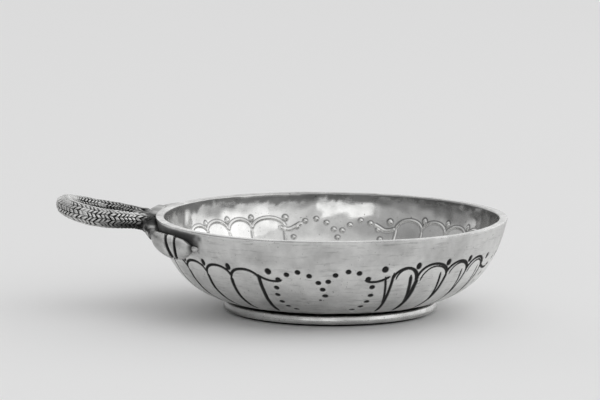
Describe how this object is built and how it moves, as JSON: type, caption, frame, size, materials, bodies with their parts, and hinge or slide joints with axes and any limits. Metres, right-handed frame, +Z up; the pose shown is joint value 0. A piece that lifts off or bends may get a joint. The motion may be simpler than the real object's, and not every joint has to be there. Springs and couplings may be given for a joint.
{
  "type": "wine tasting cup",
  "caption": "Shallow round silver tasting cup on a low foot ring, with a serpent-scaled loop handle whose ends turn apart along the wall and finish in ringed buds.",
  "frame": {"origin": "bottom centre of the bounding box, on the plane the foot ring stands on; the bowl's axis is 12.22 mm towards +X", "axes": "+Z up, -X along the handle, -Y the side with the front heart"},
  "size_m": [0.1094, 0.085, 0.0273],
  "materials": {
    "bowl": "polished silver with fine wear",
    "foot_ring": "polished silver with fine wear",
    "serpent_loop": "chased silver, darkened in the recesses",
    "front_bud": "satin silver, darkened in the grooves",
    "back_bud": "satin silver, darkened in the grooves"
  },
  "bodies": {
    "root": {"bowl": "bowl", "foot_ring": "foot_ring", "serpent_loop": "serpent_loop", "front_bud": "front_bud", "back_bud": "back_bud"}
  },
  "joints": []
}
